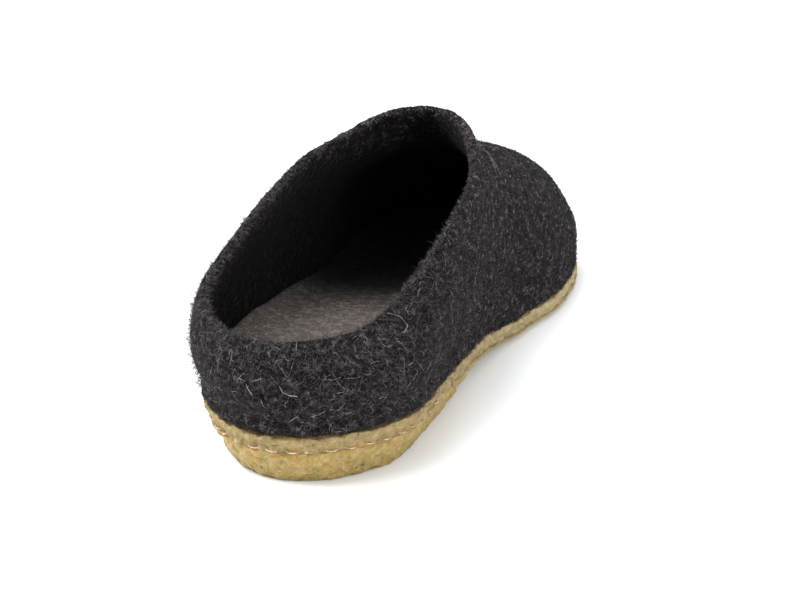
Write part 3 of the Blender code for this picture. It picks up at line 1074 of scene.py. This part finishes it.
# single pale hairs that catch the eye, by shares of the half width, length and height
markedHairs = {
    "paths": [
        [(0.66, -0.36, 0.58), (0.73, -0.35, 0.56), (0.78, -0.35, 0.53), (0.77, -0.36, 0.51)],
        [(0.17, -0.47, 0.55), (0.21, -0.46, 0.55), (0.25, -0.46, 0.55), (0.27, -0.47, 0.53)],
        [(-0.02, -0.50, 0.42), (0.00, -0.50, 0.40), (0.03, -0.50, 0.38)],
        [(0.20, -0.49, 0.42), (0.22, -0.49, 0.40), (0.27, -0.49, 0.39), (0.32, -0.49, 0.39)],
        [(0.37, -0.48, 0.29), (0.42, -0.47, 0.31), (0.46, -0.47, 0.32)],
        [(0.54, -0.47, 0.39), (0.56, -0.46, 0.39), (0.59, -0.46, 0.38)],
        [(0.22, -0.48, 0.27), (0.26, -0.48, 0.29), (0.30, -0.48, 0.31)],
        [(-0.29, -0.48, 0.44), (-0.30, -0.48, 0.41)],
    ],
    "width": 0.15 * mm,
    "lift": 0.45 * mm,
    "part": 0.25 * mm,  # each is a pair of hairs that draw apart by this
}


def buildMarkedHairs():
    paths, facings = [], []
    for hair in markedHairs["paths"]:
        marks = onShoe(hair)
        for strand in (0, 1):
            row, out = [], []
            for t in np.linspace(0, 1, 7):
                k = t * (len(marks) - 1)
                i = min(int(k), len(marks) - 2)
                spot = marks[i] * (1 - k + i) + marks[i + 1] * (k - i)
                hit, normal, _, _ = wallTree.find_nearest(Vector(spot))
                row.append(hit + normal * (markedHairs["lift"] + markedHairs["part"] * strand * t))
                out.append(normal)
            paths.append(row)
            facings.append(out)
    path = np.array(paths).transpose(1, 0, 2)
    normal = np.array(facings).transpose(1, 0, 2)
    width = np.full(len(paths), markedHairs["width"])
    threads("markedHairs", path, normal, width, fibreFinish("paleFibre"), "felt")


# the pale wisps along the ridge beside the front lip
foldWisps = {"count": 90, "length": (0.9, 2.4), "width": (0.07, 0.12), "lift": (0.15, 0.45),
             "scatter": 0.7 * mm, "stray": 3 * mm, "curl": 1.0, "seed": 23}


def buildFoldHairs():
    rng = np.random.default_rng(foldWisps["seed"])
    count = foldWisps["count"]
    path = onShoe(creases["lipRidge"]["path"])
    travel = rng.random(count) * (len(path) - 1)
    step = travel.astype(int)
    place = path[step] + (path[step + 1] - path[step]) * (travel - step)[:, None]
    place += rng.normal(size=place.shape) * foldWisps["scatter"]
    heading = path[step + 1] - path[step] + rng.normal(size=place.shape) * foldWisps["stray"]
    facing = np.tile([0.0, 0.0, 1.0], (count, 1))
    length = spreadOf(foldWisps["length"], count, rng)
    lift = spreadOf(foldWisps["lift"], count, rng)
    path, normal = grown(wallTree, place, facing, heading, length, foldWisps["curl"], lift, 4, rng)
    width = spreadOf(foldWisps["width"], count, rng)
    threads("foldHairs", path, normal, width, fibreFinish("paleFibre"), "felt")


buildMarkedHairs()
buildFoldHairs()
fibrePieces = [buildFibres(name) for name in fibres]
print("loose wool grown,", sum(len(p.data.polygons) for p in fibrePieces), "faces")

# ragged felt where the wall meets the rubber
fringe = {"count": 2600, "length": (0.5, 1.5), "width": (0.20, 0.60), "lift": (0.05, 0.25),
          "curl": 0.8, "band": (0.6 * mm, 2.6 * mm), "seed": 31}  # band: height over the rubber


def footShare(points, normals):
    low, high = fringe["band"]
    above = overRubber(points)
    return (above > low) * (above < high) * (facingOut(points, normals) > 0.1)


def buildFringe():
    rng = np.random.default_rng(fringe["seed"])
    count = fringe["count"]
    place, facing = scattered(feltWall, count, rng, footShare)
    length = spreadOf(fringe["length"], count, rng)
    width = spreadOf(fringe["width"], count, rng)
    lift = spreadOf(fringe["lift"], count, rng)
    heading = np.column_stack([0.5 * rng.normal(size=(count, 2)), np.full(count, -1.0)])
    path, normal = grown(None, place, facing, heading, length, fringe["curl"], lift, 4, rng)
    return ribbons("feltFringe", path, normal, width, fibreFinish("edgeFibre"), "felt")


buildFringe()
print("felt fringe built")

# seam stitches
seamGauge = np.arange(len(seamLine)) * seamStep


def onSeam(travel, line):
    # the value of one of the seam's lines at a distance along it
    return np.array([np.interp(travel, seamGauge, line[:, k], period=seamLength) for k in range(3)])


def buildStitches():
    rng = np.random.default_rng(stitching["seed"])
    count = int(round(seamLength / stitching["pitch"]))
    sides, rings = stitching["sides"], stitching["rings"]
    radius = stitching["thick"] / 2
    points, quads = [], []
    for s in range(count):
        start = s * seamLength / count + rng.normal() * stitching["drift"]
        length = stitching["length"] * rng.uniform(0.65, 1.20)
        tilt = rng.normal() * stitching["drift"]
        reach = rng.uniform(*stitching["reach"]) * mm
        sunk = smoothStep(onSeam(start % seamLength, seamLine)[1], *stitching["sunk"])
        reach *= 1 - stitching["sunkShare"] * sunk
        for k in range(rings):
            t = k / (rings - 1)
            travel = (start + length * t) % seamLength
            along, out = onSeam(travel, seamAlong), onSeam(travel, seamOut)
            over = np.cross(along, out)
            arch = math.sin(math.pi * t) ** 0.5
            middle = onSeam(travel, seamLine) + out * (stitching["setOut"] + reach * arch)
            middle[2] += stitching["setUp"] - stitching["sag"] * arch + tilt * (t - 0.5)
            for j in range(sides):
                turn = 2 * math.pi * j / sides
                points.append(middle + radius * (out * math.cos(turn) + over * math.sin(turn)))
        base = s * rings * sides
        for k in range(rings - 1):
            for j in range(sides):
                m = (j + 1) % sides
                quads.append((base + k * sides + j, base + k * sides + m,
                              base + (k + 1) * sides + m, base + (k + 1) * sides + j))
    return strandMesh("seamStitches", np.array(points), np.array(quads), threadFinish(), "crepe_band")


buildStitches()
print("seam stitched")

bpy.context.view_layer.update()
meshes = [piece.data for piece in bpy.data.objects if piece.type == "MESH"]
triangles = sum(len(face.vertices) - 2 for data in meshes for face in data.polygons)
print("triangles in all:", triangles)
